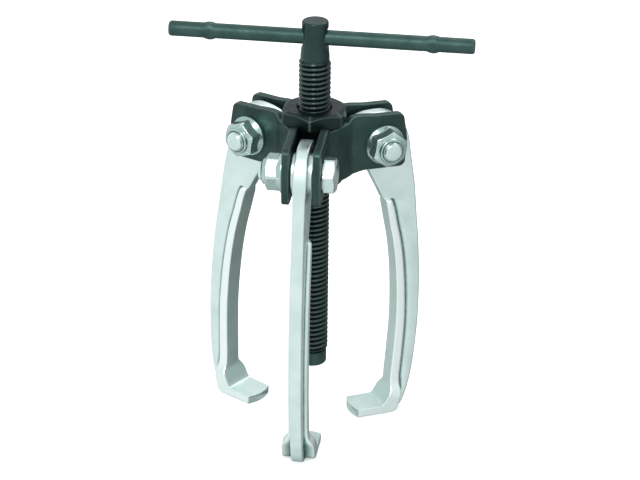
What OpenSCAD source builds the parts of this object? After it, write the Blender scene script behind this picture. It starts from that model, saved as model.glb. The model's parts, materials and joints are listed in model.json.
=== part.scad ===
/* [Spindle] */
// Outside diameter of the spindle's thread
thread_d = 12.6; // [12.2:0.1:13]
// Pitch of the thread
pitch = 2; // [1.5:0.25:2.5]
// Depth of the thread's grooves
thread_depth = 0.85; // [0.6:0.05:1]
// Height of the thread's upper end above the pressure face
thread_top_z = 131.4; // [128:0.2:133]
// Diameter of the plain neck above the thread
neck_d = 10.4; // [10:0.2:10.8]
// Height of the top of the neck
spindle_top_z = 146.7; // [145:0.1:149]

/* [Pressure tip] */
// Diameter of the swivelling pressure cap
tip_d = 11.6; // [11:0.1:11.8]
// Height of the cap
tip_h = 5.8; // [5.6:0.1:6.4]
// Diameter of the thrust ball inside the cap
ball_d = 4; // [3.6:0.2:4]

/* [Tommy bar] */
// Diameter of the bar
bar_d = 6; // [5:0.2:6.4]
// Length of the bar
bar_len = 119; // [110:1:130]
// Height of the bar above the pressure face
bar_z = 139.9; // [139:0.1:141]
// How far the bar is slid to one side
bar_shift = 2.3; // [-8:0.1:8]
// Distance of each pressed stop from its end of the bar
stop_inset = 16; // [10:1:20]
// Length of a pressed stop
stop_len = 4.6; // [4:0.2:6]
// How far a pressed stop stands proud
stop_rise = 0.6; // [0.3:0.05:0.8]
// Depth of the pinch at a stop's front and back
stop_pinch = 0.3; // [0.2:0.05:0.5]

/* [Spindle nut] */
// Width across the flats of the hexagon
hub_af = 24; // [23:0.5:25]
// Height of the top of the nut
hub_top_z = 111.1; // [110.8:0.1:112]
// Height of the hexagon
hub_hex_h = 5.8; // [5.4:0.1:6]
// Diameter of the waist between the plates
waist_d = 19.4; // [18:0.2:19.6]
// Diameter of the collar under the plates
collar_d = 22.6; // [22:0.2:23]
// Thickness of the collar
collar_h = 2; // [1.5:0.1:3]

/* [Cheek plates] */
// Thickness of the plate
plate_t = 3; // [2.8:0.1:3.1]
// Distance of the plate's inner face from the spindle's axis
plate_in = 9.9; // [9.9:0.1:10.2]
// Clear width between two lugs
lug_gap = 9.1; // [9:0.1:9.4]
// Distance of a lug's end from the spindle's axis
lug_reach = 35.4; // [34.5:0.1:36]
// Height of a lug above the pivot
lug_up = 13.6; // [13:0.1:14]
// Depth of a lug below the pivot
lug_down = 10.4; // [10:0.1:11]
// Depth of the plate's middle below the pivot
mid_down = 11.7; // [11.5:0.1:12]
// Radius of the bends, on the centre line
bend_r = 6; // [5:0.5:7]

/* [Arms] */
// Distance of the pivots from the spindle's axis
pivot_r = 26.8; // [26.5:0.1:27.2]
// Height of the pivots above the pressure face
pivot_z = 94; // [93.9:0.1:94.1]
// Thickness of the arm's web
web_t = 5; // [4.6:0.1:5.4]
// Width of the bead along the arm's inner side
bead_w = 8; // [7:0.1:8.4]
// Width of the hook's pad
pad_w = 13.4; // [12:0.1:14]
// Thickness of the hook's pad at its tip
pad_t = 3.4; // [3:0.1:4]
// Depth of the pad's face below the pivot
hook_depth = 117.1; // [116:0.1:118]
// Radius of the boss round the pivot
boss_r = 8; // [7.6:0.1:9]
// Angle that the left arm is swung out by, in degrees
left_swing = 4.6; // [0:0.1:6]

/* [Pivot hardware] */
// Diameter of the bolt's shank
bolt_d = 8; // [7.8:0.1:8]
// Width across the flats of the bolt heads and nuts
bolt_af = 13; // [12.5:0.1:13.5]
// Height of the bolt's head
head_h = 5.3; // [5:0.1:5.6]
// Length of the bolt under its head
bolt_len = 25; // [24.6:0.1:25.4]
// Diameter of the nut's flange
flange_d = 16.2; // [15.8:0.1:16.6]
// Height of the nut without its collar
nut_h = 6.4; // [6.2:0.1:6.6]
// Height of the collar that holds the locking ring
lock_h = 1.9; // [1.6:0.1:2]

/* [Hidden] */
$fn = 64;
// Running clearance, on the radius, of a shaft in its bore
run = 0.05;
// Angles of the three arms round the spindle, seen from above
FRONT = -90;
RIGHT = 30;
LEFT = 150;
// Bright plated steel and blackened steel
BRIGHT = [0.80, 0.86, 0.85];
BLACK = [0.20, 0.28, 0.27];
GREY = [0.45, 0.52, 0.51];
// Height of the hexagon's underside, which rests on the plates
hex_z = hub_top_z - hub_hex_h;
// Top edge of the plates' middles, above the pivot
mid_up = hex_z - pivot_z;
// Distance of a lug's outer face from the middle plane of its arm
lug_face = lug_gap / 2 + plate_t;
// Faces of the bosses, just clear of the lugs
boss_w = lug_gap - 0.1;
// Radius and half angle of a bar stop's bulge, and radius of its pinch marks
stop_r = (stop_len * stop_len / 4 + stop_rise * stop_rise) / (2 * stop_rise);
stop_half_angle = asin(stop_len / 2 / stop_r);
pinch_r = (stop_len * stop_len / 4 + stop_pinch * stop_pinch) / (2 * stop_pinch);

// A smooth curve through the points p, with n steps between one point and the next
function smooth(p, n) = concat(
    [for (i = [0:len(p) - 2], j = [0:n - 1])
        let (a = p[max(i - 1, 0)], b = p[i], c = p[i + 1], d = p[min(i + 2, len(p) - 1)], t = j / n)
        (2 * b + (c - a) * t + (2 * a - 5 * b + 4 * c - d) * t * t + (3 * b - a - 3 * c + d) * t * t * t) / 2],
    [p[len(p) - 1]]);

// Points of an arc round c, from angle a0 to angle a1
function arc(c, r, a0, a1, n) = [for (i = [0:n]) let (a = a0 + (a1 - a0) * i / n) c + r * [cos(a), sin(a)]];

// A hexagonal prism from z = 0 to h, with its upper corners turned off at 30 degrees
module chamfered_hex(af, h, turned_d) {
    cone_drop = (af / sqrt(3) - turned_d / 2) * tan(30);
    intersection() {
        cylinder(d = 2 * af / sqrt(3), h = h, $fn = 6);
        rotate_extrude()
            polygon([[0, 0], [af / sqrt(3) + 1, 0], [af / sqrt(3) + 1, h - cone_drop - tan(30)],
                     [turned_d / 2, h], [0, h]]);
    }
}

// Puts a part drawn round its pivot, x outward and y along the pivot, at the arm at angle a
module at_pivot(a) {
    rotate([0, 0, a])
        translate([pivot_r, 0, pivot_z])
            children();
}

// ---- Spindle nut: hexagon above the plates, waist between them, collar below ----
module spindle_nut() {
    waist_low = pivot_z - mid_down - 0.2;
    mouth = thread_d / 2 + 0.7;
    bore_r = thread_d / 2 + run;
    color(BLACK)
    difference() {
        union() {
            translate([0, 0, hex_z])
                rotate([0, 0, 30])
                    chamfered_hex(hub_af, hub_hex_h, hub_af);
            translate([0, 0, waist_low])
                cylinder(d = waist_d, h = hex_z - waist_low + 0.1);
            translate([0, 0, waist_low - collar_h])
                cylinder(d = collar_d, h = collar_h);
        }
        translate([0, 0, waist_low - collar_h - 1])
            cylinder(r = bore_r, h = hub_top_z);
        translate([0, 0, hub_top_z - mouth + bore_r])
            cylinder(r1 = bore_r, r2 = mouth + 0.01, h = mouth - bore_r + 0.01);
    }
}

// ---- Cheek plates: a flat middle and two lugs, each bent 30 degrees outward ----
// Centre line of the middle, and where a lug's centre line meets it
mid_u = plate_in + plate_t / 2;
lug_c = (lug_gap + plate_t) / 2;
bend_w = (mid_u * cos(30) - lug_c) / sin(30);
// How far a bend reaches from where the centre lines meet
bend_tan = bend_r * tan(15);
// Distance from the spindle's axis, along the arm, at which the lug's flat part starts
lug_start = mid_u * sin(30) + bend_w * cos(30) + bend_tan;

// A lug's outline: distance along the arm, height above the pivot
function lug_outline() = concat(
    smooth([[lug_start, lug_up - 0.3], [lug_start + 3.5, lug_up - 0.2], [lug_start + 9, lug_up - 0.9]], 4),
    arc([lug_reach - 3, lug_up - 4.3], 3, 84, 20, 6),
    smooth([[lug_reach + 0.9, 4], [lug_reach + 1.2, -1], [lug_reach + 0.5, -lug_down + 3.4]], 4),
    arc([lug_reach - 2, -lug_down + 2.5], 2.5, -10, -90, 5),
    smooth([[lug_start + 9, -lug_down + 0.3], [lug_start + 4.5, -lug_down + 0.4],
            [lug_start, -mid_down + 0.9]], 4));

// The middle's and the bends' outline: distance across, height above the pivot
function mid_outline() = let (
    w_end = bend_w + bend_tan,
    top = smooth([[w_end, lug_up - 0.3], [w_end - 1.6, lug_up - 0.9], [w_end - 3.6, mid_up + 0.05],
                  [w_end - 4.6, mid_up]], 4),
    low = smooth([[w_end, -mid_down + 0.9], [w_end - 2, -mid_down + 0.3], [w_end - 4.6, -mid_down]], 4))
    concat([for (p = top) p], [for (i = [len(top) - 1:-1:0]) [-top[i][0], top[i][1]]],
           [for (p = low) [-p[0], p[1]]], [for (i = [len(low) - 1:-1:0]) low[i]]);

// Plan of one side's bend and half of the middle
module bend_plan() {
    centre = [mid_u + bend_r, bend_w - bend_tan];
    outer = arc(centre, bend_r + plate_t / 2, 180, 150, 8);
    inner = arc(centre, bend_r - plate_t / 2, 150, 180, 8);
    // A short straight end, so that the bend and the lug are one piece
    into_lug = 0.3 * [sin(30), cos(30)];
    polygon(concat(outer, [outer[8] + into_lug, inner[0] + into_lug], inner));
    translate([plate_in, -0.1])
        square([plate_t, bend_w - bend_tan + 0.1]);
}

module cheek_plate(a) {
    color(BLACK)
    rotate([0, 0, a]) {
        intersection() {
            translate([0, 0, pivot_z - 20])
                linear_extrude(40)
                    union() {
                        bend_plan();
                        mirror([0, 1]) bend_plan();
                    }
            translate([0, 0, pivot_z])
                rotate([90, 0, 90])
                    linear_extrude(40)
                        polygon(mid_outline());
        }
        for (side = [-1, 1])
            rotate([0, 0, side * 60])
                translate([0, -side * lug_c, pivot_z])
                    difference() {
                        rotate([90, 0, 0])
                            linear_extrude(plate_t, center = true)
                                polygon(lug_outline());
                        translate([pivot_r, 0, 0])
                            rotate([90, 0, 0])
                                cylinder(d = bolt_d + 2 * run, h = plate_t + 2, center = true);
                    }
    }
}

// ---- Arms, drawn round the pivot: x outward, y along the pivot, z up ----
// Outer edge of the web, from the head's top to the hook's heel
OUTER = [[-1.5, 11.5], [5, 10.9], [10.6, 7.2], [13.9, -0.4], [15.2, -12], [16.5, -28], [18.1, -46], [18.9, -64],
         [18.6, -82], [17.3, -97], [15.2, -109], [12.7, -117.6]];
// Inner face, from the start of the bead to the pad
INNER = [[2.9, -27.5], [4.5, -36], [6.7, -48], [8, -63], [8.2, -80], [7.2, -95], [6.1, -107]];
// Inner edge of the head, from its upper corner to the notch above the bead
HEAD_INNER = [[-9, 9.5], [-7, 0], [-4.2, -11], [-1, -19], [2.1, -26.4]];
// Line of the step between the web and the bead, from the bead's upper end to the hook
STEP = [[6.3, -27.5], [8.2, -38], [10.5, -49], [12, -64], [12.4, -80], [11.4, -94], [10.3, -106.5]];

function backwards(p) = [for (i = [len(p) - 1:-1:0]) p[i]];

// The pad's section from the tip round the heel: depths are taken from the pad's face
function heel_outline() = concat(
    [[-8.4, -hook_depth], [-8.4, -hook_depth - pad_t + 0.4], [-8, -hook_depth - pad_t]],
    arc([3.6, -hook_depth - pad_t + 4.2], 4.2, -90, -12, 8));

module web() {
    rotate([90, 0, 0])
        linear_extrude(web_t, center = true)
            polygon(concat(
                smooth(OUTER, 4),
                arc([9.6, -hook_depth - 0.5], 3.1, 0, -90, 6),
                [[0, -hook_depth - pad_t + 0.3], [0, -hook_depth + 1], [5.4, -hook_depth + 6]],
                backwards(smooth(INNER, 3)),
                backwards(smooth(HEAD_INNER, 3))));
}

module bead() {
    rotate([90, 0, 0])
        linear_extrude(bead_w, center = true)
            polygon(concat(
                smooth(STEP, 3),
                [[9.4, -hook_depth + 2], [1.7, -hook_depth], [4.6, -hook_depth + 4.6]],
                backwards(smooth(INNER, 3)),
                arc([4.6, -27.3], 1.7, 175, 5, 8)));
}

// The hook: a pad with a curved tip, and two ears that flare out of the bead
module hook() {
    ear_top = -hook_depth + 8.6;
    flare = smooth([[bead_w / 2, ear_top + 1], [bead_w / 2 + 0.35, ear_top - 1.2],
                    [bead_w / 2 + 1.4, ear_top - 3], [pad_w / 2, ear_top - 4.2]], 3);
    intersection() {
        rotate([90, 0, 0])
            linear_extrude(pad_w, center = true)
                polygon(concat(
                    heel_outline(),
                    [[8.2, -hook_depth + 3.4], [9.4, -hook_depth + 5.4], [9.8, ear_top], [6.2, ear_top]],
                    smooth([[5.9, ear_top - 1.5], [4.6, -hook_depth + 3.6], [2.9, -hook_depth + 0.9],
                            [1.7, -hook_depth]], 3)));
        rotate([90, 0, 90])
            linear_extrude(60, center = true)
                polygon(concat(
                    flare,
                    [[pad_w / 2, -hook_depth - 9], [-pad_w / 2, -hook_depth - 9]],
                    backwards([for (s = flare) [-s[0], s[1]]])));
    }
    // The tip's curved edge
    sagitta = 1.5;
    tip_r = (pad_w * pad_w / 4 + sagitta * sagitta) / (2 * sagitta);
    translate([0, 0, -hook_depth - pad_t])
        intersection() {
            translate([-9.9 + tip_r, 0, 0])
                cylinder(r = tip_r, h = pad_t);
            translate([-10, -pad_w / 2, 0])
                cube([4, pad_w, pad_t]);
        }
}

module arm() {
    color(BRIGHT)
    difference() {
        union() {
            web();
            bead();
            hook();
            rotate([90, 0, 0])
                cylinder(r = boss_r, h = boss_w, center = true);
        }
        rotate([90, 0, 0])
            cylinder(d = bolt_d + 2 * run, h = boss_w + 2, center = true);
    }
}

// ---- Pivot hardware, drawn along z from the bolt's head to its nut ----
// Turns it along the pivot: side is 1 with the nut on the arm's left, seen from outside, or -1
module along_pivot(side) {
    rotate([-90 * side, 0, 0])
        children();
}

module pivot_bolt(side) {
    r = bolt_d / 2;
    color(BRIGHT)
    along_pivot(side) {
        translate([0, 0, -lug_face])
            mirror([0, 0, 1])
                rotate([0, 0, 12])
                    chamfered_hex(bolt_af, head_h, bolt_af - 0.8);
        translate([0, 0, -lug_face])
            rotate_extrude()
                polygon([[0, -0.2], [r, -0.2], [r, bolt_len - 1], [r - 1, bolt_len], [0, bolt_len]]);
    }
}

module flange_nut(side) {
    bore_r = bolt_d / 2 + run;
    collar_r = 5.2;
    color(BRIGHT)
    along_pivot(side)
        translate([0, 0, lug_face])
            difference() {
                union() {
                    rotate([0, 0, 20])
                        chamfered_hex(bolt_af, nut_h, bolt_af - 0.8);
                    rotate_extrude()
                        polygon([[0, 0], [flange_d / 2 - 0.3, 0], [flange_d / 2, 0.3], [flange_d / 2, 1],
                                 [bolt_af / 2 - 0.4, 2.7], [0, 2.7]]);
                    translate([0, 0, nut_h - 0.1])
                        rotate_extrude()
                            polygon([[0, 0], [collar_r, 0], [collar_r, lock_h - 0.5],
                                     [collar_r - 0.6, lock_h + 0.1], [0, lock_h + 0.1]]);
                }
                rotate_extrude()
                    polygon([[0, -1], [bore_r + 1, -1], [bore_r, 0], [bore_r, nut_h],
                             [collar_r - 0.45, nut_h], [collar_r - 0.45, nut_h + lock_h - 0.4],
                             [collar_r - 0.75, nut_h + lock_h + 1], [0, nut_h + lock_h + 1]]);
            }
}

// The ring that grips the bolt's thread, held in the nut's collar
module locking_ring(side) {
    color(GREY)
    along_pivot(side)
        translate([0, 0, lug_face + nut_h])
            difference() {
                cylinder(r = 4.7, h = lock_h - 0.5);
                translate([0, 0, -1])
                    cylinder(r = bolt_d / 2 + run, h = lock_h + 2);
            }
}

// ---- Spindle: nose, threaded length, neck ----
nose_r = 3;
nose_low = 4.1;
lip_z = 5;
groove_r = nose_r - 0.35;
ball_z = 1.8 + ball_d / 2;

module spindle() {
    r = thread_d / 2;
    root = r - thread_depth;
    neck = neck_d / 2;
    turns = floor((thread_top_z - tip_h - 0.5) / pitch);
    low = thread_top_z - turns * pitch;
    edge = 0.8;
    color(GREY)
    difference() {
        rotate_extrude()
            polygon(concat(
                [[0, nose_low], [nose_r, nose_low], [nose_r, lip_z - 0.1], [groove_r, lip_z - 0.1],
                 [groove_r, tip_h + 0.2], [root - 0.4, tip_h + 0.2], [root, tip_h + 0.5]],
                [for (i = [0:turns - 1], q = [[root, 0.05], [r, 0.4], [r, 0.65]])
                    [q[0], low + (i + q[1]) * pitch]],
                [[root, thread_top_z], [neck, thread_top_z + 6.5]],
                arc([neck - edge, spindle_top_z - edge], edge, 0, 90, 6),
                [[0, spindle_top_z]]));
        translate([0, 0, bar_z])
            rotate([0, 90, 0])
                cylinder(r = bar_d / 2 + 0.08, h = 2 * r, center = true);
        translate([0, 0, ball_z])
            sphere(r = ball_d / 2 + 0.04);
    }
}

// The cap that presses on the work and does not turn with the spindle
module pressure_tip() {
    r = tip_d / 2;
    edge = 0.9;
    color(GREY)
    rotate_extrude()
        polygon(concat(
            [[0, 0]],
            arc([r - edge, edge], edge, -90, 0, 5),
            [[r, tip_h - 0.4], [r - 0.4, tip_h], [groove_r + 0.08, tip_h], [groove_r + 0.08, lip_z],
             [nose_r + 0.06, lip_z], [nose_r + 0.06, ball_z - ball_d / 2], [0, ball_z - ball_d / 2]]));
}

module thrust_ball() {
    color(BRIGHT)
    translate([0, 0, ball_z])
        sphere(d = ball_d);
}

// ---- Tommy bar: a rod with a stop near each end, pinched from the front and back ----
// One stop's bulge, as [radius, height] points round the bar's axis
function stop_bulge(x) = arc([bar_d / 2 + stop_rise - stop_r, x], stop_r,
                             -stop_half_angle, stop_half_angle, 10);

module tommy_bar() {
    r = bar_d / 2;
    half = bar_len / 2;
    stop_x = half - stop_inset;
    color(BLACK)
    translate([bar_shift, 0, bar_z])
        difference() {
            rotate([0, 90, 0])
                rotate_extrude()
                    polygon(concat([[0, -half], [r - 0.5, -half], [r, -half + 0.7]],
                        stop_bulge(-stop_x), stop_bulge(stop_x),
                        [[r, half - 0.7], [r - 0.5, half], [0, half]]));
            for (x = [-stop_x, stop_x], side = [-1, 1])
                translate([x, side * (r - stop_pinch + pinch_r), 0])
                    cylinder(r = pinch_r, h = bar_d * 2, center = true);
        }
}

spindle_nut();
cheek_plate((FRONT + RIGHT) / 2);  // cheek_plate_right
cheek_plate((RIGHT + LEFT) / 2);  // cheek_plate_rear
cheek_plate((LEFT + FRONT + 360) / 2);  // cheek_plate_left
at_pivot(FRONT) pivot_bolt(-1);  // pivot_bolt_front
at_pivot(RIGHT) pivot_bolt(-1);  // pivot_bolt_right
at_pivot(LEFT) pivot_bolt(1);  // pivot_bolt_left
at_pivot(FRONT) flange_nut(-1);  // flange_nut_front
at_pivot(RIGHT) flange_nut(-1);  // flange_nut_right
at_pivot(LEFT) flange_nut(1);  // flange_nut_left
at_pivot(FRONT) locking_ring(-1);  // locking_ring_front
at_pivot(RIGHT) locking_ring(-1);  // locking_ring_right
at_pivot(LEFT) locking_ring(1);  // locking_ring_left
at_pivot(FRONT) arm();  // arm_front
at_pivot(RIGHT) arm();  // arm_right
at_pivot(LEFT) rotate([0, -left_swing, 0]) arm();  // arm_left
spindle();
pressure_tip();
thrust_ball();
tommy_bar();
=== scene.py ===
import json
import math

import bmesh
import bpy
from mathutils import Matrix, Vector
from mathutils.kdtree import KDTree


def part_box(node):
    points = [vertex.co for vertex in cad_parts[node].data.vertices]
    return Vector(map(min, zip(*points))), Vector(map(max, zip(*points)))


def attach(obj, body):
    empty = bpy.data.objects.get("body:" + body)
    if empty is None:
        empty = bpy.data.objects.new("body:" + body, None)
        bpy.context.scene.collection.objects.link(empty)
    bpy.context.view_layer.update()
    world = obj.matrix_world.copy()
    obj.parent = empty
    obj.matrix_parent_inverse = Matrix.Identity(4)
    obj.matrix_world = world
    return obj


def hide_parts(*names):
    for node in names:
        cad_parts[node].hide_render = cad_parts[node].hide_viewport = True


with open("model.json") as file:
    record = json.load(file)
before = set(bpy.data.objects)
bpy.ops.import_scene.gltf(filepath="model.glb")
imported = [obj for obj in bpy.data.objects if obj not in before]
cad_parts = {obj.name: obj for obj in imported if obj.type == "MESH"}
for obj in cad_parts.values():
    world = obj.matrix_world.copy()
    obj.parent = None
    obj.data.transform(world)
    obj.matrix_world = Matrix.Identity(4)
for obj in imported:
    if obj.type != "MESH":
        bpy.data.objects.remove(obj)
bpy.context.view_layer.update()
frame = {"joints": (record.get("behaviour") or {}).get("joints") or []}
JOINTS = {j["name"]: j for j in frame["joints"]}
MM = 0.001

# Millimetres in the CAD frame, which has its origin in the spindle tip's pressing face.
PIVOTS = {side: Vector(JOINTS[side + "_arm_swing"]["pos_m"]) / MM for side in ("front", "right", "left")}
PIVOT_R = math.hypot(PIVOTS["front"].x, PIVOTS["front"].y)
PIVOT_Z = PIVOTS["front"].z
REST_SWING = {"front": 0.0, "right": 0.0,
              "left": JOINTS["right_arm_swing"]["range_deg"][1] - JOINTS["left_arm_swing"]["range_deg"][1]}
# The nut is on this side of each arm, along the pivot.
NUT_SIDE = {"front": -1, "right": -1, "left": 1}


def box_mm(node):
    low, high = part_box(node)
    return low / MM, high / MM


# ---------------------------------------------------------------- camera, light and floor
CAMERA_AZIMUTH = 8.1
CAMERA_ELEVATION = 24.9
CAMERA_ROLL = 0.6
CAMERA_DISTANCE = 1.2
CAMERA_LENS = 169.9
CAMERA_SHIFT = 0.0108
LOOK_AT = Vector((0, 0, (PIVOT_Z - 40.4) * MM))


def add_camera():
    azimuth, elevation = math.radians(CAMERA_AZIMUTH), math.radians(CAMERA_ELEVATION)
    back = Vector((math.sin(azimuth) * math.cos(elevation), -math.cos(azimuth) * math.cos(elevation),
                   math.sin(elevation)))
    right = (-back).cross(Vector((0, 0, 1))).normalized()
    up = right.cross(-back)
    turned = Matrix.Rotation(math.radians(CAMERA_ROLL), 3, back)
    right, up = turned @ right, turned @ up
    data = bpy.data.cameras.new("camera")
    data.lens = CAMERA_LENS
    data.sensor_width = 36
    data.shift_x = CAMERA_SHIFT
    data.clip_start = 0.01
    data.clip_end = 20
    camera = bpy.data.objects.new("camera", data)
    axes = Matrix((right, up, back)).transposed().to_4x4()
    camera.matrix_world = Matrix.Translation(LOOK_AT + back * CAMERA_DISTANCE) @ axes
    bpy.context.scene.collection.objects.link(camera)
    bpy.context.scene.camera = camera


def add_area_light(name, azimuth, elevation, distance, size, watts):
    azimuth, elevation = math.radians(azimuth), math.radians(elevation)
    toward = Vector((math.sin(azimuth) * math.cos(elevation), -math.cos(azimuth) * math.cos(elevation),
                     math.sin(elevation)))
    data = bpy.data.lights.new(name, "AREA")
    data.shape = "RECTANGLE"
    data.size, data.size_y = size
    data.energy = watts
    light = bpy.data.objects.new(name, data)
    light.location = LOOK_AT + toward * distance
    light.rotation_euler = toward.to_track_quat("Z", "Y").to_euler()
    bpy.context.scene.collection.objects.link(light)


def stage_material(name, colour, glow):
    material = bpy.data.materials.new(name)
    material.use_nodes = True
    shader = material.node_tree.nodes["Principled BSDF"]
    shader.inputs["Base Color"].default_value = (*colour, 1)
    shader.inputs["Roughness"].default_value = 0.9
    shader.inputs["Specular IOR Level"].default_value = 0.1
    shader.inputs["Emission Color"].default_value = (1, 1, 1, 1)
    shader.inputs["Emission Strength"].default_value = glow
    return material


def add_studio():
    world = bpy.data.worlds.new("studio")
    bpy.context.scene.world = world
    world.use_nodes = True
    tree = world.node_tree
    background = tree.nodes["Background"]
    # Brighter from the front, the left and above; darker from behind, the right and below
    place = tree.nodes.new("ShaderNodeTexCoord")
    dot = tree.nodes.new("ShaderNodeVectorMath")
    dot.operation = "DOT_PRODUCT"
    dot.inputs[1].default_value = (-0.33, -0.49, 0.47)
    ramp = tree.nodes.new("ShaderNodeMapRange")
    ramp.inputs["From Min"].default_value = -0.85
    ramp.inputs["From Max"].default_value = 0.0
    ramp.inputs["To Min"].default_value = 0.06
    ramp.inputs["To Max"].default_value = 1.0
    tree.links.new(place.outputs["Generated"], dot.inputs[0])
    tree.links.new(dot.outputs["Value"], ramp.inputs["Value"])
    tree.links.new(ramp.outputs["Result"], background.inputs["Strength"])
    background.inputs["Color"].default_value = (0.97, 1.0, 1.0, 1)
    add_area_light("key", -8, 48, 0.9, (0.22, 0.22), 2.6)
    add_area_light("rim", 165, 50, 0.9, (0.5, 0.3), 1.2)
    view = bpy.context.scene.view_settings
    view.view_transform = "Standard"
    view.look = "None"


def add_floor():
    lowest = min(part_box("arm_" + side)[0].z for side in PIVOTS)
    mesh = bpy.data.meshes.new("floor")
    half = 4.0
    mesh.from_pydata([(-half, -half, lowest), (half, -half, lowest), (half, half, lowest),
                      (-half, half, lowest)], [], [(0, 1, 2, 3)])
    floor = bpy.data.objects.new("floor", mesh)
    bpy.context.scene.collection.objects.link(floor)
    mesh.materials.append(stage_material("floor_paint", (0.94, 0.95, 0.95), 0.35))
    # The plating mirrors the studio's gradient, and not the floor
    floor.visible_glossy = False


# ---------------------------------------------------------------- materials
class Nodes:
    """A short way to add nodes to one material."""

    def __init__(self, name):
        self.material = bpy.data.materials.new(name)
        self.material.use_nodes = True
        self.tree = self.material.node_tree
        self.shader = self.tree.nodes["Principled BSDF"]

    def add(self, kind, **settings):
        node = self.tree.nodes.new(kind)
        for key, value in settings.items():
            setattr(node, key, value)
        return node

    def link(self, source, target):
        self.tree.links.new(source, target)

    def noise(self, scale, detail):
        """Noise in the object's own space; scale is in features to the metre."""
        place = self.add("ShaderNodeTexCoord")
        node = self.add("ShaderNodeTexNoise")
        node.inputs["Scale"].default_value = scale
        node.inputs["Detail"].default_value = detail
        node.inputs["Roughness"].default_value = 0.55
        self.link(place.outputs["Object"], node.inputs["Vector"])
        return node.outputs["Fac"]

    def remap(self, value, low, high, out_low, out_high):
        """Stretches low to high over out_low to out_high, and holds it at the ends."""
        node = self.add("ShaderNodeMapRange")
        node.inputs["From Min"].default_value = low
        node.inputs["From Max"].default_value = high
        node.inputs["To Min"].default_value = out_low
        node.inputs["To Max"].default_value = out_high
        self.link(value, node.inputs["Value"])
        return node.outputs["Result"]

    def mix(self, factor, a, b):
        """Mixes two colours; each is a tuple or a socket."""
        node = self.add("ShaderNodeMix", data_type="RGBA")
        self.link(factor, node.inputs["Factor"])
        for value, socket in ((a, node.inputs["A"]), (b, node.inputs["B"])):
            if isinstance(value, tuple):
                socket.default_value = (*value, 1)
            else:
                self.link(value, socket)
        return node.outputs["Result"]

    def multiply(self, a, b):
        """The product of two values; each is a number or a socket."""
        node = self.add("ShaderNodeMath", operation="MULTIPLY")
        for value, socket in ((a, node.inputs[0]), (b, node.inputs[1])):
            if isinstance(value, (int, float)):
                socket.default_value = value
            else:
                self.link(value, socket)
        return node.outputs["Value"]

    def attribute(self, name):
        return self.add("ShaderNodeAttribute", attribute_name=name).outputs["Fac"]

    def bump(self, height, strength, distance):
        node = self.add("ShaderNodeBump")
        node.inputs["Strength"].default_value = strength
        node.inputs["Distance"].default_value = distance
        self.link(height, node.inputs["Height"])
        self.link(node.outputs["Normal"], self.shader.inputs["Normal"])


WORN_AND_SHEEN_BLACK = (0.42, 0.52, 0.50)
PAINTED_GROOVE_SHADE = (0.002, 0.006, 0.005)
PAINTED_INNER_SHADE = (0.25, 0.40, 0.36)
PAINTED_BEAD_SHEEN = (0.90, 0.96, 0.95)
RUBBED_AND_SHEEN = (0.92, 0.97, 0.96)
PAINTED_CREASE_SHADE = (0.07, 0.16, 0.145)


def black_steel(name, base, light, roughness, wear_and_sheen_amount=0.35):
    """Blackened steel: soft mottling, fine grain, brighter on worn edges, a painted highlight on thread
    crests, and near black painted shade in thread roots.
    """
    n = Nodes(name)
    mottle = n.remap(n.noise(120, 5), 0.3, 0.7, 0, 1)
    colour = n.mix(mottle, base, light)
    # Brightening on worn edges; on thread crests it is a painted highlight
    breakup = n.remap(n.noise(1400, 3), 0.3, 0.6, 0.5, 1)
    wear_and_sheen = n.multiply(n.multiply(n.attribute("wear_and_sheen"), breakup), wear_and_sheen_amount)
    colour = n.mix(wear_and_sheen, colour, WORN_AND_SHEEN_BLACK)
    # Painted shade, near black, in thread roots
    colour = n.mix(n.multiply(n.attribute("groove_shade"), 0.97), colour, PAINTED_GROOVE_SHADE)
    n.link(colour, n.shader.inputs["Base Color"])
    n.link(n.remap(n.noise(500, 4), 0.3, 0.7, roughness - 0.06, roughness + 0.08),
           n.shader.inputs["Roughness"])
    n.shader.inputs["Metallic"].default_value = 0.75
    n.bump(n.noise(1800, 4), 0.25, 0.000015)
    return n.material


def plated_steel(name, base, shade, roughness, bump_scale=900, bump_height=0.00012):
    """Bright plating over forged or turned steel. Marks on the mesh paint shade on the arms' inner faces and
    in the fillets at their steps, paint a highlight on the beads' sides, and brighten worn edges and, as a
    painted highlight, the bolts' thread crests.
    """
    n = Nodes(name)
    cloud = n.remap(n.noise(90, 5), 0.32, 0.68, 0, 1)
    colour = n.mix(cloud, base, shade)
    # Painted shade on the arms' inner faces
    colour = n.mix(n.multiply(n.attribute("inner"), 0.44), colour, PAINTED_INNER_SHADE)
    # Painted highlight on the beads' sides
    colour = n.mix(n.multiply(n.attribute("bead_sheen"), 0.8), colour, PAINTED_BEAD_SHEEN)
    # Brightening on worn edges, and a painted highlight on the bolts' thread crests
    colour = n.mix(n.multiply(n.attribute("wear_and_sheen"), 0.7), colour, RUBBED_AND_SHEEN)
    # Painted shade in the fillets at the arms' steps and in the bolts' thread roots, broken up by noise
    shade_breakup = n.remap(n.noise(400, 4), 0.25, 0.5, 0.75, 1)
    colour = n.mix(n.multiply(n.attribute("groove_shade"), shade_breakup), colour, PAINTED_CREASE_SHADE)
    n.link(colour, n.shader.inputs["Base Color"])
    n.link(n.remap(n.noise(260, 4), 0.3, 0.7, roughness - 0.06, roughness + 0.08),
           n.shader.inputs["Roughness"])
    n.shader.inputs["Metallic"].default_value = 0.9
    n.bump(n.noise(bump_scale, 5), 0.3, bump_height)
    return n.material


def nylon():
    n = Nodes("nylon")
    n.link(n.mix(n.remap(n.noise(700, 3), 0.3, 0.7, 0, 1), (0.30, 0.42, 0.40), (0.40, 0.52, 0.50)),
           n.shader.inputs["Base Color"])
    n.link(n.remap(n.noise(900, 3), 0.3, 0.7, 0.38, 0.55), n.shader.inputs["Roughness"])
    n.bump(n.noise(3000, 3), 0.2, 0.00005)
    return n.material


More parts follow.
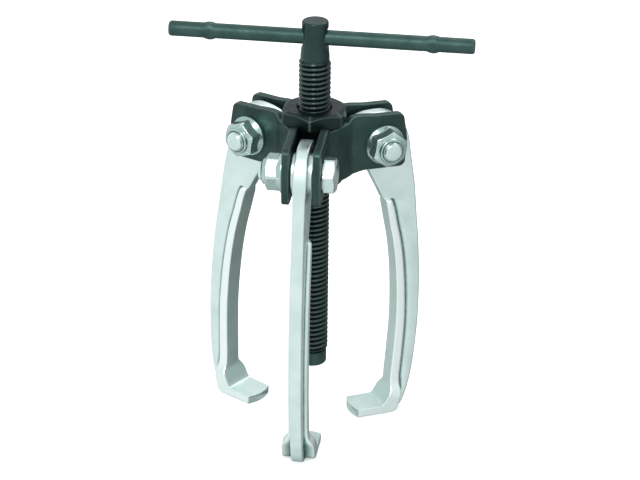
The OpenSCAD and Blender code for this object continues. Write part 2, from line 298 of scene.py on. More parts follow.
# ---------------------------------------------------------------- mesh tools
def smooth(points, steps):
    """A smooth curve through tuples of numbers, with that many steps between one and the next."""
    curve = []
    last = len(points) - 1
    for i in range(last):
        a, b, c, d = points[max(i - 1, 0)], points[i], points[i + 1], points[min(i + 2, last)]
        for j in range(steps):
            t = j / steps
            curve.append(tuple((2 * q + (r - p) * t + (2 * p - 5 * q + 4 * r - s) * t * t
                                + (3 * q - p - 3 * r + s) * t ** 3) / 2 for p, q, r, s in zip(a, b, c, d)))
    curve.append(tuple(points[last]))
    return curve


def arc(centre, radius, start, end, steps):
    """Points round a centre, from one angle to another, in degrees."""
    angles = [math.radians(start + (end - start) * i / steps) for i in range(steps + 1)]
    return [(centre[0] + radius * math.cos(a), centre[1] + radius * math.sin(a)) for a in angles]


def blend_in(value, low, high):
    """0 below low, 1 above high, and a smooth rise between them."""
    t = min(1, max(0, (value - low) / (high - low)))
    return t * t * (3 - 2 * t)


def new_mesh(name, points, faces, attributes=None):
    """A mesh object from points in millimetres."""
    mesh = bpy.data.meshes.new(name)
    mesh.from_pydata([tuple(c * MM for c in p) for p in points], [], faces)
    for key, values in (attributes or {}).items():
        mesh.attributes.new(key, "FLOAT", "POINT").data.foreach_set("value", values)
    mesh.update()
    piece = bpy.data.objects.new(name, mesh)
    bpy.context.scene.collection.objects.link(piece)
    return piece


def clean(piece, fill=False):
    """Joins coincident points, drops empty faces, closes rims if asked, and turns the faces outward."""
    bm = bmesh.new()
    bm.from_mesh(piece.data)
    bmesh.ops.remove_doubles(bm, verts=bm.verts, dist=1e-7)
    bmesh.ops.dissolve_degenerate(bm, edges=bm.edges, dist=1e-7)
    if fill:
        bmesh.ops.holes_fill(bm, edges=[e for e in bm.edges if e.is_boundary], sides=0)
    bmesh.ops.recalc_face_normals(bm, faces=bm.faces)
    bm.to_mesh(piece.data)
    bm.free()
    return piece


def loft(name, rings, attributes=None, cap=True):
    """Joins closed rings of equal length into a skin. attributes holds a list of rows like the rings."""
    count = len(rings[0])
    faces = []
    for i in range(len(rings) - 1):
        for j in range(count):
            k = (j + 1) % count
            faces.append((i * count + j, i * count + k, (i + 1) * count + k, (i + 1) * count + j))
    if cap:
        faces.append(tuple(range(count)))
        faces.append(tuple((len(rings) - 1) * count + j for j in range(count)))
    flat = {key: [v for row in rows for v in row] for key, rows in (attributes or {}).items()}
    return clean(new_mesh(name, [p for ring in rings for p in ring], faces, flat))


def lathe(name, profile, segments):
    """Turns (radius, height) points round z."""
    rings = []
    for radius, height in profile:
        rings.append([(radius * math.cos(2 * math.pi * j / segments),
                       radius * math.sin(2 * math.pi * j / segments), height) for j in range(segments)])
    return loft(name, rings, cap=profile[0][0] > 0 or profile[-1][0] > 0)


def join(name, pieces):
    """Makes one object of several, each keeping its own closed skin."""
    bm = bmesh.new()
    for piece in pieces:
        piece.data.transform(piece.matrix_world)
        bm.from_mesh(piece.data)
        bpy.data.objects.remove(piece)
    mesh = bpy.data.meshes.new(name)
    bm.to_mesh(mesh)
    bm.free()
    result = bpy.data.objects.new(name, mesh)
    bpy.context.scene.collection.objects.link(result)
    return result


def move(piece, matrix):
    """Moves the mesh itself, so that the object stays at the origin. Lengths are in millimetres."""
    scaled = matrix.copy()
    scaled.translation = scaled.translation * MM
    piece.data.transform(scaled)
    return piece


def apply_modifiers(piece):
    """Puts the modified mesh in the place of the piece's own."""
    depsgraph = bpy.context.evaluated_depsgraph_get()
    mesh = bpy.data.meshes.new_from_object(piece.evaluated_get(depsgraph), depsgraph=depsgraph)
    piece.modifiers.clear()
    piece.data = mesh
    return piece


def bevel(piece, width, segments, angle):
    """Rounds the edges that turn by more than the angle."""
    modifier = piece.modifiers.new("bevel", "BEVEL")
    modifier.width = width * MM
    modifier.segments = segments
    modifier.limit_method = "ANGLE"
    modifier.angle_limit = math.radians(angle)
    modifier.harden_normals = False
    return apply_modifiers(piece)


def worn_bevel(piece, width, segments, angle):
    """Rounds the sharp edges and marks the middle of each rounding as worn."""
    bm = bmesh.new()
    bm.from_mesh(piece.data)
    samples = []
    for edge in bm.edges:
        if len(edge.link_faces) == 2 and edge.calc_face_angle_signed(0) > math.radians(angle):
            a, b = edge.verts[0].co, edge.verts[1].co
            count = max(1, int((b - a).length / (width * MM * 0.5)))
            samples += [a.lerp(b, i / count) for i in range(count + 1)]
    bm.free()
    tree = KDTree(len(samples))
    for i, point in enumerate(samples):
        tree.insert(point, i)
    tree.balance()
    bevel(piece, width, segments, angle)
    mesh = piece.data
    wear_and_sheen = [max(0.0, 1 - tree.find(v.co)[2] / (width * MM * 0.95)) for v in mesh.vertices]
    mesh.attributes.new("wear_and_sheen", "FLOAT", "POINT").data.foreach_set("value", wear_and_sheen)
    return piece


def combine(piece, other, operation):
    """UNION or DIFFERENCE of two closed meshes; the second is used up."""
    modifier = piece.modifiers.new("combine", "BOOLEAN")
    modifier.operation = operation
    modifier.solver = "EXACT"
    modifier.object = other
    apply_modifiers(piece)
    bpy.data.objects.remove(other)
    return piece


def finish_piece(piece, body, node, material, sharp=38):
    """Shading, material, and what the piece rides on and stands for."""
    mesh = piece.data
    mesh.materials.clear()
    mesh.materials.append(material)
    mesh.polygons.foreach_set("use_smooth", [True] * len(mesh.polygons))
    mesh.set_sharp_from_angle(angle=math.radians(sharp))
    modifier = piece.modifiers.new("weighted", "WEIGHTED_NORMAL")
    modifier.keep_sharp = True
    apply_modifiers(piece)
    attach(piece, body)
    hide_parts(node)
    return piece


def arm_frame(side, swing=0.0):
    """Places what is drawn round a pivot: x outward, y along the pivot, z up."""
    pivot = PIVOTS[side]
    angle = math.atan2(pivot.y, pivot.x)
    return (Matrix.Translation(pivot) @ Matrix.Rotation(angle, 4, "Z")
            @ Matrix.Rotation(-math.radians(swing), 4, "Y"))


# ---------------------------------------------------------------- arms
# Stations from the head's upper corner to the hook's tip: inner point, outer point (x, z),
# half width of the inner side, and depth of the bead behind it.
ARM_STATIONS = [
    (-9.0, 9.2, -8.6, 9.8, 2.5, 0.3), (-8.9, 8.4, -6.2, 10.9, 2.5, 2), (-8.6, 6.8, -1.5, 11.5, 2.5, 4),
    (-8.1, 4.2, 5, 11.0, 2.5, 4), (-7.4, 1.3, 10.2, 7.6, 2.5, 4), (-6.3, -3, 13.6, 0.8, 2.5, 4),
    (-4.9, -8.5, 14.9, -8, 2.5, 4), (-2.9, -14.5, 15.5, -15, 2.5, 4), (-0.4, -20.5, 15.95, -21, 2.5, 4),
    (1.6, -25, 16.25, -25.2, 2.5, 2.6), (2.2, -26.1, 16.35, -26.2, 2.55, 2.6),
    (2.6, -26.6, 16.4, -26.7, 3.3, 2.8), (2.8, -27.1, 16.45, -27.2, 3.8, 3.0),
    (3.0, -28.2, 16.55, -28.3, 3.95, 3.3), (3.7, -31.5, 16.8, -31.7, 4, 3.5),
    (4.5, -36, 17.2, -36.5, 4, 3.6), (6.7, -48, 18.2, -48, 4, 3.8), (8.0, -63, 18.85, -63, 4, 4.0),
    (8.2, -80, 18.7, -80.5, 4, 4.2), (7.2, -95, 17.45, -96, 4, 4.3), (6.4, -104, 16.2, -105.2, 4, 4.3),
    (6.2, -107.4, 15.5, -108.6, 4.05, 4.4)]
# The foot, joined by straight lines: flare, flat facet, pad
FOOT_STATIONS = [
    (6.15, -108.6, 15.1, -110.2, 4.15, 4.5), (6.08, -109.4, 14.85, -111.4, 4.4, 4.6),
    (6.0, -110.1, 14.6, -112.4, 4.85, 4.8), (5.82, -110.8, 14.3, -113.3, 5.5, 5.0),
    (5.45, -111.6, 13.95, -114.2, 6.1, 5.1), (5.0, -112.35, 13.7, -115.1, 6.5, 5.3),
    (4.5, -113.2, 13.4, -116.0, 6.68, 5.5), (3.9, -114.15, 13.0, -117.1, 6.7, 5.8),
    (3.2, -115.3, 12.3, -118.6, 6.7, 6.2), (2.5, -116.4, 11.4, -119.8, 6.7, 6.5),
    (2.1, -116.85, 10.6, -120.3, 6.7, 6.6), (1.75, -117.03, 9.6, -120.7, 6.7, 6.6),
    (1.3, -117.1, 8.3, -120.88, 6.7, 6.5), (0.4, -117.1, 6.0, -120.9, 6.7, 6.2),
    (-0.8, -117.1, 3.4, -120.75, 6.7, 5.5), (-2.6, -117.1, 0.2, -120.55, 6.7, 4.5),
    (-4.6, -117.1, -3.6, -120.5, 6.7, 3.7), (-6.4, -117.1, -6, -120.5, 6.7, 3.5),
    (-8.4, -117.1, -8.4, -120.5, 6.7, 3.5)]
# Half the web's thickness, and what the head adds to it round the pivot; then how far the hook's tip
# bows, and its half width
WEB_HALF = 2.5
HEAD_SWELL = 0.25
TIP_SAGITTA = 1.5
PAD_HALF = 6.7


def arm_section(wide, web, thick, bead, corner, step, fillet, outer, sunk):
    """Half of a section, from the inner side outward: (depth from the inner side, half width, mark)."""
    bead = min(bead, thick)
    overhang = wide - web
    step = min(step, overhang * 0.75)
    fillet = max(0.0, min(fillet, overhang - step, thick - bead))
    outer = min(outer, max(0.0, thick - bead - fillet))
    foot = web - sunk
    # Marks: 0 plain, 1 inner face, which gets painted shade, 2 bead's side, which gets a painted highlight, 3
    # groove at the step, which gets painted shade
    half = [(0, 0, 1), (0, (wide - corner) * 0.6, 1)]
    inner_corner = arc((corner, wide - corner), corner, 180, 90, 4)
    half += [(x, y, 1 if i < 2 else 2) for i, (x, y) in enumerate(inner_corner)]
    bead_corner = arc((bead - step, wide - step), step, 90, 0, 4)
    half += [(x, y, 2 if i < 3 else 0) for i, (x, y) in enumerate(bead_corner)]
    half += [(x, y, 3) for x, y in arc((bead + fillet, foot + fillet), fillet, 180, 270, 4)]
    rest = max(0.0, thick - outer - bead - fillet)
    rise = min(1.2, 0.5 * rest)
    half += [(bead + fillet + 0.35 * rise, foot, 3), (bead + fillet + rise, web, 0)]
    half += [(thick - outer - 0.35 * max(0.0, thick - outer - bead - fillet - rise), web, 0)]
    half += [(x, y, 0) for x, y in arc((thick - outer, web - outer), outer, 90, 0, 5)]
    half += [(thick, 0, 0)]
    return half


def make_arm(side, material):
    rings, marks = [], {"groove_shade": [], "inner": [], "bead_sheen": []}
    rows = smooth(ARM_STATIONS, 4)
    for first, last in zip([ARM_STATIONS[-1]] + FOOT_STATIONS, FOOT_STATIONS):
        rows += [tuple(p + (q - p) * t for p, q in zip(first, last)) for t in (0.5, 1)]
    for xi, zi, xo, zo, wide, bead in rows:
        thick = math.hypot(xo - xi, zo - zi)
        ux, uz = (xo - xi) / thick, (zo - zi) / thick
        in_foot = blend_in(-zi, 107, 112)
        in_pad = blend_in(-zi, 115, 117)
        near_end = 1 - blend_in(-zi, 26.2, 30)
        beaded = blend_in(wide, 2.5, 3.5) if zi < -20 else 0.0
        corner = min(0.7 - 0.35 * in_pad + 1.2 * near_end * beaded, thick * 0.3)
        sunk = 0.5 * beaded * (1 - blend_in(-zi, 108, 113))
        web = WEB_HALF + HEAD_SWELL * (1 - blend_in(-zo, 0.5, 6)) * (1 - blend_in(zo, 4, 10))
        wide = max(wide, web)
        step, outer = 1.1 - 0.6 * in_foot, min(0.8, thick * 0.3)
        half = arm_section(wide, web, thick, bead, corner, step, 0.6, outer, sunk)
        bow = -TIP_SAGITTA * blend_in(-xi, -1, 8.4)
        # Strengths of the painted marks: shade in the fillet at the step and on the inner face, a highlight
        # on the bead's side
        stepped = min(1.0, (wide - web) / 1.2) * min(1.0, max(0.0, (thick - bead) / 1.5))
        levels = {"groove_shade": stepped, "inner": 1 - 0.5 * in_pad, "bead_sheen": beaded * (1 - 0.6 * in_foot)}
        codes = {"groove_shade": 3, "inner": 1, "bead_sheen": 2}
        ring = []
        row = {key: [] for key in marks}
        for depth, y, mark in half + [(d, -y, m) for d, y, m in half[-2:0:-1]]:
            ring.append((xi + ux * depth + bow * (1 - (y / PAD_HALF) ** 2), y, zi + uz * depth))
            for key in marks:
                row[key].append(levels[key] if mark == codes[key] else 0.0)
        rings.append(ring)
        for key in marks:
            marks[key].append(row[key])
    # Rounded ends: the last rings are drawn in towards their middle
    for target, first in ((0, True), (-1, False)):
        ring = rings[target]
        middle = [sum(p[k] for p in ring) / len(ring) for k in range(3)]
        before = rings[1 if first else -2]
        step = [middle[k] - sum(p[k] for p in before) / len(before) for k in range(3)]
        length = math.sqrt(sum(s * s for s in step))
        inset = 0.25
        small = []
        for p in ring:
            reach = math.dist(p, middle)
            keep = max(0.0, 1 - inset / reach)
            small.append(tuple(middle[k] + (p[k] - middle[k]) * keep + step[k] / length * inset * 0.8
                               for k in range(3)))
        place = 0 if first else len(rings)
        rings.insert(place, small)
        # The ring added at the hook's end takes the full painted inner shade; the other marks copy the next
        # ring
        for key, rows_of in marks.items():
            rows_of.insert(place, [1.0] * len(ring) if key == "inner" and not first else rows_of[target])
    arm = loft("arm", rings, marks)
    boss = lathe("boss", [(0, -4.5), (7.4, -4.5), (8.0, -4.0), (8.0, 4.0), (7.4, 4.5), (0, 4.5)], 72)
    move(boss, Matrix.Rotation(math.radians(90), 4, "X"))
    combine(arm, boss, "UNION")
    bore = lathe("bore", [(0, -6), (4.05, -6), (4.05, 6), (0, 6)], 48)
    combine(arm, move(bore, Matrix.Rotation(math.radians(90), 4, "X")), "DIFFERENCE")
    move(arm, arm_frame(side, REST_SWING[side]))
    arm.name = "look_arm_" + side
    finish_piece(arm, side + "_arm", "arm_" + side, material)


# ---------------------------------------------------------------- cheek plates
PLATE_T, PLATE_MID, LUG_CENTRE, BEND_R = 3.0, 11.4, 6.05, 6.0
LUG_UP, LUG_DOWN, MID_UP, MID_DOWN, LUG_REACH = 13.6, 10.4, 11.3, 11.7, 35.4
BEND = math.radians(30)
BEND_ACROSS = (PLATE_MID * math.cos(BEND) - LUG_CENTRE) / math.sin(BEND)
BEND_TAN = BEND_R * math.tan(BEND / 2)
BEND_FROM = BEND_ACROSS - BEND_TAN
BEND_TO = BEND_FROM + BEND_R * BEND
LUG_FROM = PLATE_MID * math.sin(BEND) + BEND_ACROSS * math.cos(BEND) + BEND_TAN


def plate_outline():
    """Outline of the flat blank: (length along it, height above the pivot)."""
    e = BEND_TO
    end = e + LUG_REACH - LUG_FROM
    half = [(e - 4.6, MID_UP)]
    half += smooth([(e - 3.6, MID_UP + 0.05), (e - 1.6, LUG_UP - 0.9), (e, LUG_UP - 0.3),
                    (e + 3.5, LUG_UP - 0.2), (e + 9, LUG_UP - 0.9)], 5)
    half += arc((end - 3, LUG_UP - 4.3), 3, 84, 20, 10)
    half += smooth([(end + 0.9, 4), (end + 1.2, -1), (end + 0.5, -LUG_DOWN + 3.4)], 6)
    half += arc((end - 2, -LUG_DOWN + 2.5), 2.5, -10, -90, 8)
    half += smooth([(e + 9, -LUG_DOWN + 0.3), (e + 4.5, -LUG_DOWN + 0.4), (e, -MID_DOWN + 0.9),
                    (e - 2, -MID_DOWN + 0.3), (e - 4.6, -MID_DOWN)], 5)
    return half + [(-s, z) for s, z in half[::-1]]


def bent(point):
    """Where a point of the flat blank lands: length along, height, distance outward from mid-plane."""
    s, z, n = point
    side = 1 if s >= 0 else -1
    s = abs(s)
    if s <= BEND_FROM:
        return (PLATE_MID + n, side * s, z)
    turn = min(BEND, (s - BEND_FROM) / BEND_R)
    beyond = max(0.0, s - BEND_TO)
    x = PLATE_MID + BEND_R - (BEND_R - n) * math.cos(turn) + beyond * math.sin(BEND)
    y = BEND_FROM + (BEND_R - n) * math.sin(turn) + beyond * math.cos(BEND)
    return (x, side * y, z)


def make_cheek_plate(node, angle, arms, material):
    outline = plate_outline()
    rings = [[(s, z, n) for s, z in outline] for n in (-PLATE_T / 2, PLATE_T / 2)]
    plate = worn_bevel(loft("plate", rings), 0.5, 4, 40)
    bm = bmesh.new()
    bm.from_mesh(plate.data)
    for side in (-1, 1):
        for k in range(11):
            at = side * (BEND_FROM + (BEND_TO - BEND_FROM) * k / 10) * MM
            bmesh.ops.bisect_plane(bm, geom=bm.verts[:] + bm.edges[:] + bm.faces[:], dist=1e-8,
                                   plane_co=(at, 0, 0), plane_no=(1, 0, 0))
    for vertex in bm.verts:
        vertex.co = Vector(bent(tuple(c / MM for c in vertex.co))) * MM
    bmesh.ops.recalc_face_normals(bm, faces=bm.faces)
    bm.to_mesh(plate.data)
    bm.free()
    move(plate, Matrix.Rotation(math.radians(angle), 4, "Z") @ Matrix.Translation((0, 0, PIVOT_Z)))
    for side in arms:
        bore = lathe("bore", [(0, -16), (4.06, -16), (4.06, 16), (0, 16)], 48)
        move(bore, arm_frame(side) @ Matrix.Rotation(math.radians(90), 4, "X"))
        combine(plate, bore, "DIFFERENCE")
    plate.name = "look_" + node
    finish_piece(plate, "yoke", node, material, 30)


# ---------------------------------------------------------------- hexagons, nut, bolts
def hex_radius(across, angle, corner):
    """Distance from the axis to a hexagon with rounded corners, at an angle in degrees from a corner."""
    a = math.radians((angle + 30) % 60 - 30)
    flat = across / 2 / math.cos(math.radians(30) - abs(a))
    tip = across / math.sqrt(3) - corner * (2 / math.sqrt(3) - 1)
    return soft_min(flat, tip / math.cos(a * 0.7), corner * 0.6)


def soft_min(a, b, blend):
    """The smaller of two, rounded where they meet."""
    if blend <= 0 or abs(a - b) >= blend:
        return min(a, b)
    h = (blend - abs(a - b)) / blend
    return min(a, b) - h * h * blend / 4


def hex_turned(name, across, turn, profile, corner, rounding=0.3, segments=144):
    """A turned part with a hexagon in it. profile rows are (radius, height, kind). kind is "turned" for a
    plain turned radius, "hex" where the hexagon is cut back to that radius, and "foot" where the turned
    radius stands proud of the hexagon."""
    rings, wear_and_sheen_values = [], []
    for radius, height, kind in profile:
        ring, wear_and_sheen = [], []
        for k in range(segments):
            angle = 360 * k / segments
            r, worn = radius, 0.0
            if kind != "turned":
                flat = hex_radius(across, angle - turn, corner)
                if kind == "hex":
                    r = soft_min(flat, radius, rounding)
                    worn = max(0.0, 1 - abs(flat - radius) / 0.3)
                else:
                    r = -soft_min(-flat, -radius, rounding)
                off = abs((angle - turn + 30) % 60 - 30)
                if r > radius - 0.05 or kind == "hex":
                    worn = max(worn, 0.7 * max(0.0, 1 - off / 3.5))
            ring.append((r * math.cos(math.radians(angle)), r * math.sin(math.radians(angle)), height))
            wear_and_sheen.append(worn)
        rings.append(ring)
        wear_and_sheen_values.append(wear_and_sheen)
    return loft(name, rings, {"wear_and_sheen": wear_and_sheen_values}, cap=False)


def chamfer_rows(across, turned, top):
    """Rows of a 30 degree chamfer, from below it up to the turned radius at the top."""
    reach = across / math.sqrt(3) + 0.25
    drop = (reach - turned / 2) * math.tan(math.radians(30))
    count = 14
    rows = [(reach + 1, top - drop - 0.3, "hex")]
    for i in range(count + 1):
        t = i / count
        rows.append((reach + (turned / 2 - reach) * t, top - drop * (1 - t), "hex"))
    return rows


def make_spindle_nut(material):
    low, high = box_mm("spindle_nut")
    top, z = high.z, low.z
    hex_low = top - 5.8
    bore = 6.36
    profile = [(bore, z, "turned"), (10.9, z, "turned"), (11.3, z + 0.4, "turned"), (11.3, z + 1.7, "turned"),
               (11.0, z + 2, "turned"), (9.75, z + 2.1, "turned"), (9.7, z + 2.3, "turned"),
               (9.7, hex_low, "turned"), (11.6, hex_low, "turned"), (11.85, hex_low + 0.03, "hex"),
               (12.6, hex_low + 0.12, "hex"), (13.6, hex_low + 0.35, "hex"), (14.2, hex_low + 0.7, "hex"),
               (15, hex_low + 1.2, "hex"), (15, hex_low + 2.4, "hex"), (15, hex_low + 3.4, "hex")]
    profile += chamfer_rows(24, 22.2, top)
    profile += [(10.9, top, "turned"), (8.4, top, "turned"), (7.2, top, "turned"),
                (7.0, top - 0.15, "turned"), (6.5, top - 0.7, "turned"), (bore, top - 1.0, "turned"),
                (bore, z, "turned")]
    nut = hex_turned("look_spindle_nut", 24, 30, profile, 1.1)
    finish_piece(nut, "yoke", "spindle_nut", material, 45)


def along_pivot(side):
    """From a part drawn along z, bolt head at the low end and nut at the high end, to its place."""
    return arm_frame(side) @ Matrix.Rotation(math.radians(-90 * NUT_SIDE[side]), 4, "X")


# One turn of a rolled thread: (share of the pitch, height from 0 at the root to 1 at the crest)
ROLLED = [(0.0, 0.0), (0.08, 0.1), (0.16, 0.42), (0.24, 0.74), (0.33, 0.92), (0.43, 0.99), (0.53, 1.0),
          (0.63, 0.96), (0.73, 0.8), (0.82, 0.48), (0.91, 0.12)]


def thread(name, outer, root, pitch, low, high, profile, fade, end):
    """A right-hand thread, closed at both ends, which fades to the radius called end. Its roots get painted
    shade and its crests a painted highlight.
    """
    steps = 48
    count = len(profile)
    turns = int(math.ceil((high - low) / pitch)) + 2
    total = turns * steps
    points, groove_shades, wear_and_sheen_values, clamped = [], [], [], []
    for t in range(total + 1):
        angle = 2 * math.pi * t / steps
        for share, crest in profile:
            z = low + (t / steps - 1 + share) * pitch
            keep = blend_in(z, low, low + fade) * (1 - blend_in(z, high - fade, high))
            radius = root + (outer - root) * crest
            radius = end + (radius - end) * keep
            clamped.append(-1 if z <= low else 1 if z >= high else 0)
            points.append((radius * math.cos(angle), radius * math.sin(angle), min(high, max(low, z))))
            # Painted light: near black painted shade in the roots, and a painted highlight on the crests
            height = (radius - root) / (outer - root)
            groove_shades.append((1 - height) * keep)
            wear_and_sheen_values.append(0.35 * height ** 6 * keep)
    faces = []
    for t in range(total):
        for j in range(count):
            if j + 1 < count:
                face = (t * count + j, (t + 1) * count + j, (t + 1) * count + j + 1, t * count + j + 1)
            elif t + steps + 1 <= total:
                above = (t + steps) * count
                face = (t * count + j, (t + 1) * count + j, above + count, above)
            else:
                continue
            if abs(sum(clamped[v] for v in face)) < 4:
                faces.append(face)
    return clean(new_mesh(name, points, faces, {"groove_shade": groove_shades, "wear_and_sheen": wear_and_sheen_values}), fill=True)


# Angles, in degrees, that the bolts' heads and their nuts happen to be turned to
HEAD_TURN = {"front": 46.8, "right": 12, "left": 12}
NUT_TURN = {"front": 2.4, "right": 20, "left": 20}


# From an arm's middle plane to the lugs' outer faces, and from there to the bolt's end
LUG_FACE = 7.55
BOLT_END = 25 - LUG_FACE


def make_pivot_hardware(side, bolt_material, nut_material, ring_material):
    place = along_pivot(side)
    rows = [(0, 0, "turned"), (5.9, 0, "turned"), (6.2, 0.05, "hex"), (6.9, 0.2, "hex"), (7.6, 0.5, "hex"),
            (9, 0.9, "hex"), (9, 2.6, "hex")] + chamfer_rows(13, 11.6, 5.3)
    rows += [(5.6, 5.3, "turned"), (3, 5.3, "turned"), (0, 5.3, "turned")]
    head = hex_turned("head", 13, HEAD_TURN[side], rows, 0.5, 0.2)
    move(head, Matrix.Translation((0, 0, -LUG_FACE)) @ Matrix.Rotation(math.pi, 4, "Y"))
    shank = lathe("shank", [(0, -LUG_FACE - 0.6), (4, -LUG_FACE - 0.6), (4, LUG_FACE + 5),
                            (0, LUG_FACE + 5)], 48)
    end = thread("end", 4, 3.5, 1.25, LUG_FACE + 4.5, BOLT_END - 0.75, ROLLED[::2], 0.5, 3.75)
    tip = lathe("tip", [(0, BOLT_END - 0.9), (3.75, BOLT_END - 0.9), (3.72, BOLT_END - 0.7),
                        (3.1, BOLT_END - 0.12), (2.8, BOLT_END), (0, BOLT_END)], 48)
    bolt = join("look_pivot_bolt_" + side, [head, shank, end, tip])
    move(bolt, place)
    finish_piece(bolt, "yoke", "pivot_bolt_" + side, bolt_material, 45)

    rows = [(4.06, 0, "turned"), (7.7, 0, "turned"), (8.0, 0.15, "turned"), (8.1, 0.5, "turned"),
            (8.0, 0.9, "turned"), (7.75, 1.1, "foot")]
    rows += [(7.75 - 1.6 * t / 8, 1.1 + 1.75 * t / 8, "foot") for t in range(1, 9)]
    rows += [(9, 3.1, "hex"), (9, 4.4, "hex")] + chamfer_rows(13, 11.8, 7.0)
    rows += [(5.75, 7.0, "turned"), (5.35, 7.02, "turned"), (5.2, 7.15, "turned"), (5.15, 7.6, "turned"),
             (5.0, 7.95, "turned"), (4.75, 8.25, "turned"), (4.45, 8.3, "turned"), (4.3, 8.15, "turned"),
             (4.35, 7.95, "turned"), (4.72, 7.75, "turned"), (4.72, 6.4, "turned"), (4.06, 6.38, "turned"),
             (4.06, 0, "turned")]
    nut = hex_turned("nut", 13, NUT_TURN[side], rows, 0.5, 0.2)
    nut.name = "look_flange_nut_" + side
    move(nut, place @ Matrix.Translation((0, 0, LUG_FACE)))
    finish_piece(nut, "yoke", "flange_nut_" + side, nut_material, 45)

    ring = lathe("look_locking_ring_" + side,
                 [(4.06, 6.4), (4.7, 6.4), (4.7, 7.6), (4.5, 7.8), (4.2, 7.75), (4.06, 7.6), (4.06, 6.4)], 48)
    move(ring, place @ Matrix.Translation((0, 0, LUG_FACE)))
    finish_piece(ring, "yoke", "locking_ring_" + side, ring_material)


# ---------------------------------------------------------------- spindle, tip, bar
def make_spindle(material):
    top = box_mm("spindle")[1].z
    bar_z = top - 6.8
    screw = thread("screw", 6.3, 5.4, 2.0, 5.9, 131.2, ROLLED, 1.4, 5.4)
    profile = [(0, 130.6), (5.3, 130.6), (5.6, 131.0), (5.72, 131.5), (5.7, 132.2), (5.5, 134.4),
               (5.3, 136.6), (5.2, 138.5)]
    neck = lathe("neck", profile + arc((4.4, top - 0.8), 0.8, 0, 90, 6) + [(0, top)], 96)
    hole = lathe("hole", [(0, -9), (6.3, -9), (3.95, -4.55), (3.2, -3.9), (3.08, -3.6), (3.08, 3.6),
                          (3.2, 3.9), (3.95, 4.55), (6.3, 9), (0, 9)], 64)
    move(hole, Matrix.Translation((0, 0, bar_z)) @ Matrix.Rotation(math.radians(90), 4, "Y"))
    combine(neck, hole, "DIFFERENCE")
    nose = lathe("nose", [(0, 4.15), (2.7, 4.15), (3, 4.4), (3, 4.9), (2.65, 4.95), (2.65, 5.7), (4.7, 6.0),
                          (0, 6.4)], 48)
    spindle = join("look_spindle", [screw, neck, nose])
    finish_piece(spindle, "spindle", "spindle", material, 42)


def make_tip(steel, ball_material):
    socket = [(5.8, 5.35), (5.7, 5.65), (5.4, 5.8), (2.75, 5.8), (2.75, 5.0), (3.07, 5.0), (3.07, 1.9),
              (0, 1.8)]
    tip = lathe("look_pressure_tip", [(0, 0)] + arc((4.9, 0.9), 0.9, -90, 0, 6) + socket, 72)
    finish_piece(tip, "pressure_tip", "pressure_tip", steel)
    ball = lathe("look_thrust_ball", arc((0, 3.82), 2, -90, 90, 18), 40)
    finish_piece(ball, "pressure_tip", "thrust_ball", ball_material)


STOP_INSET = 16
BAR_R = 3


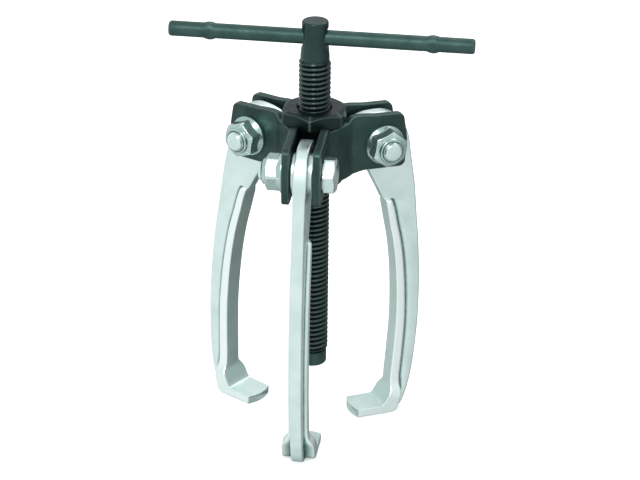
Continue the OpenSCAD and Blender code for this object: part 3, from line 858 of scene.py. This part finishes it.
def make_tommy_bar(material):
    low, high = box_mm("tommy_bar")
    bar_z = (low.z + high.z) / 2
    stops = (low.x + STOP_INSET, high.x - STOP_INSET)
    stations = [low.x, low.x + 0.02, low.x + 0.15, low.x + 0.45, low.x + 0.85]
    stations += [low.x + d for d in range(2, 13, 2)]
    for stop in stops:
        stations += [stop - 2.8 + 5.6 * i / 24 for i in range(25)]
    stations += [stops[0] + (stops[1] - stops[0]) * i / 30 for i in range(1, 30)]
    stations += [low.x + high.x - x for x in stations[:11]]
    rings, wear_and_sheen_values = [], []
    for x in sorted(stations):
        end = min(x - low.x, high.x - x)
        radius = BAR_R - 0.55 * max(0.0, 1 - end / 0.85) ** 1.6
        near = min(abs(x - stop) for stop in stops) / 2.3
        swell = max(0.0, 1 - near * near)
        # Pinched flat at the front and back, a little proud at the top and more so underneath
        limit = BAR_R - 0.2 * swell
        rim = 0.5 * max(0.0, 1 - abs(end - 0.4) / 0.5)
        ring, wear_and_sheen = [], []
        for k in range(64):
            a = 2 * math.pi * k / 64
            rise = 0.55 if math.sin(a) > 0 else 0.7
            r = radius + rise * swell * abs(math.sin(a)) ** 3
            y = max(-limit, min(limit, r * math.cos(a)))
            ring.append((x, y, bar_z + r * math.sin(a)))
            wear_and_sheen.append(max(0.4 * swell ** 2 * abs(math.sin(a)) ** 6, rim))
        rings.append(ring)
        wear_and_sheen_values.append(wear_and_sheen)
    bar = loft("look_tommy_bar", rings, {"wear_and_sheen": wear_and_sheen_values})
    finish_piece(bar, "tommy_bar", "tommy_bar", material, 50)


# ---------------------------------------------------------------- the whole puller
add_camera()
add_studio()
add_floor()

ARM_PLATING = plated_steel("arm_plating", (0.72, 0.84, 0.82), (0.60, 0.74, 0.71), 0.34)
BOLT_PLATING = plated_steel("bolt_plating", (0.70, 0.84, 0.81), (0.56, 0.70, 0.67), 0.2,
                            bump_scale=500, bump_height=0.00001)
NUT_PLATING = plated_steel("nut_plating", (0.50, 0.65, 0.62), (0.34, 0.48, 0.45), 0.2,
                           bump_scale=500, bump_height=0.00001)
NUT_BLACK = black_steel("nut_black", (0.005, 0.015, 0.014), (0.012, 0.031, 0.028), 0.38, wear_and_sheen_amount=0.22)
PLATE_BLACK = black_steel("plate_black", (0.020, 0.046, 0.042), (0.036, 0.074, 0.067), 0.40)
BAR_BLACK = black_steel("bar_black", (0.028, 0.066, 0.059), (0.046, 0.094, 0.085), 0.47)
SPINDLE_BLACK = black_steel("spindle_black", (0.014, 0.034, 0.032), (0.026, 0.056, 0.052), 0.25)
TIP_BLACK = black_steel("tip_black", (0.020, 0.050, 0.045), (0.04, 0.08, 0.07), 0.35)
BALL = plated_steel("ball_polish", (0.70, 0.74, 0.74), (0.64, 0.68, 0.68), 0.12)
NYLON = nylon()

for arm_side in PIVOTS:
    make_arm(arm_side, ARM_PLATING)
    make_pivot_hardware(arm_side, BOLT_PLATING, NUT_PLATING, NYLON)
make_cheek_plate("cheek_plate_right", -30, ("front", "right"), PLATE_BLACK)
make_cheek_plate("cheek_plate_rear", 90, ("right", "left"), PLATE_BLACK)
make_cheek_plate("cheek_plate_left", 210, ("left", "front"), PLATE_BLACK)
make_spindle_nut(NUT_BLACK)
make_spindle(SPINDLE_BLACK)
make_tip(TIP_BLACK, BALL)
make_tommy_bar(BAR_BLACK)
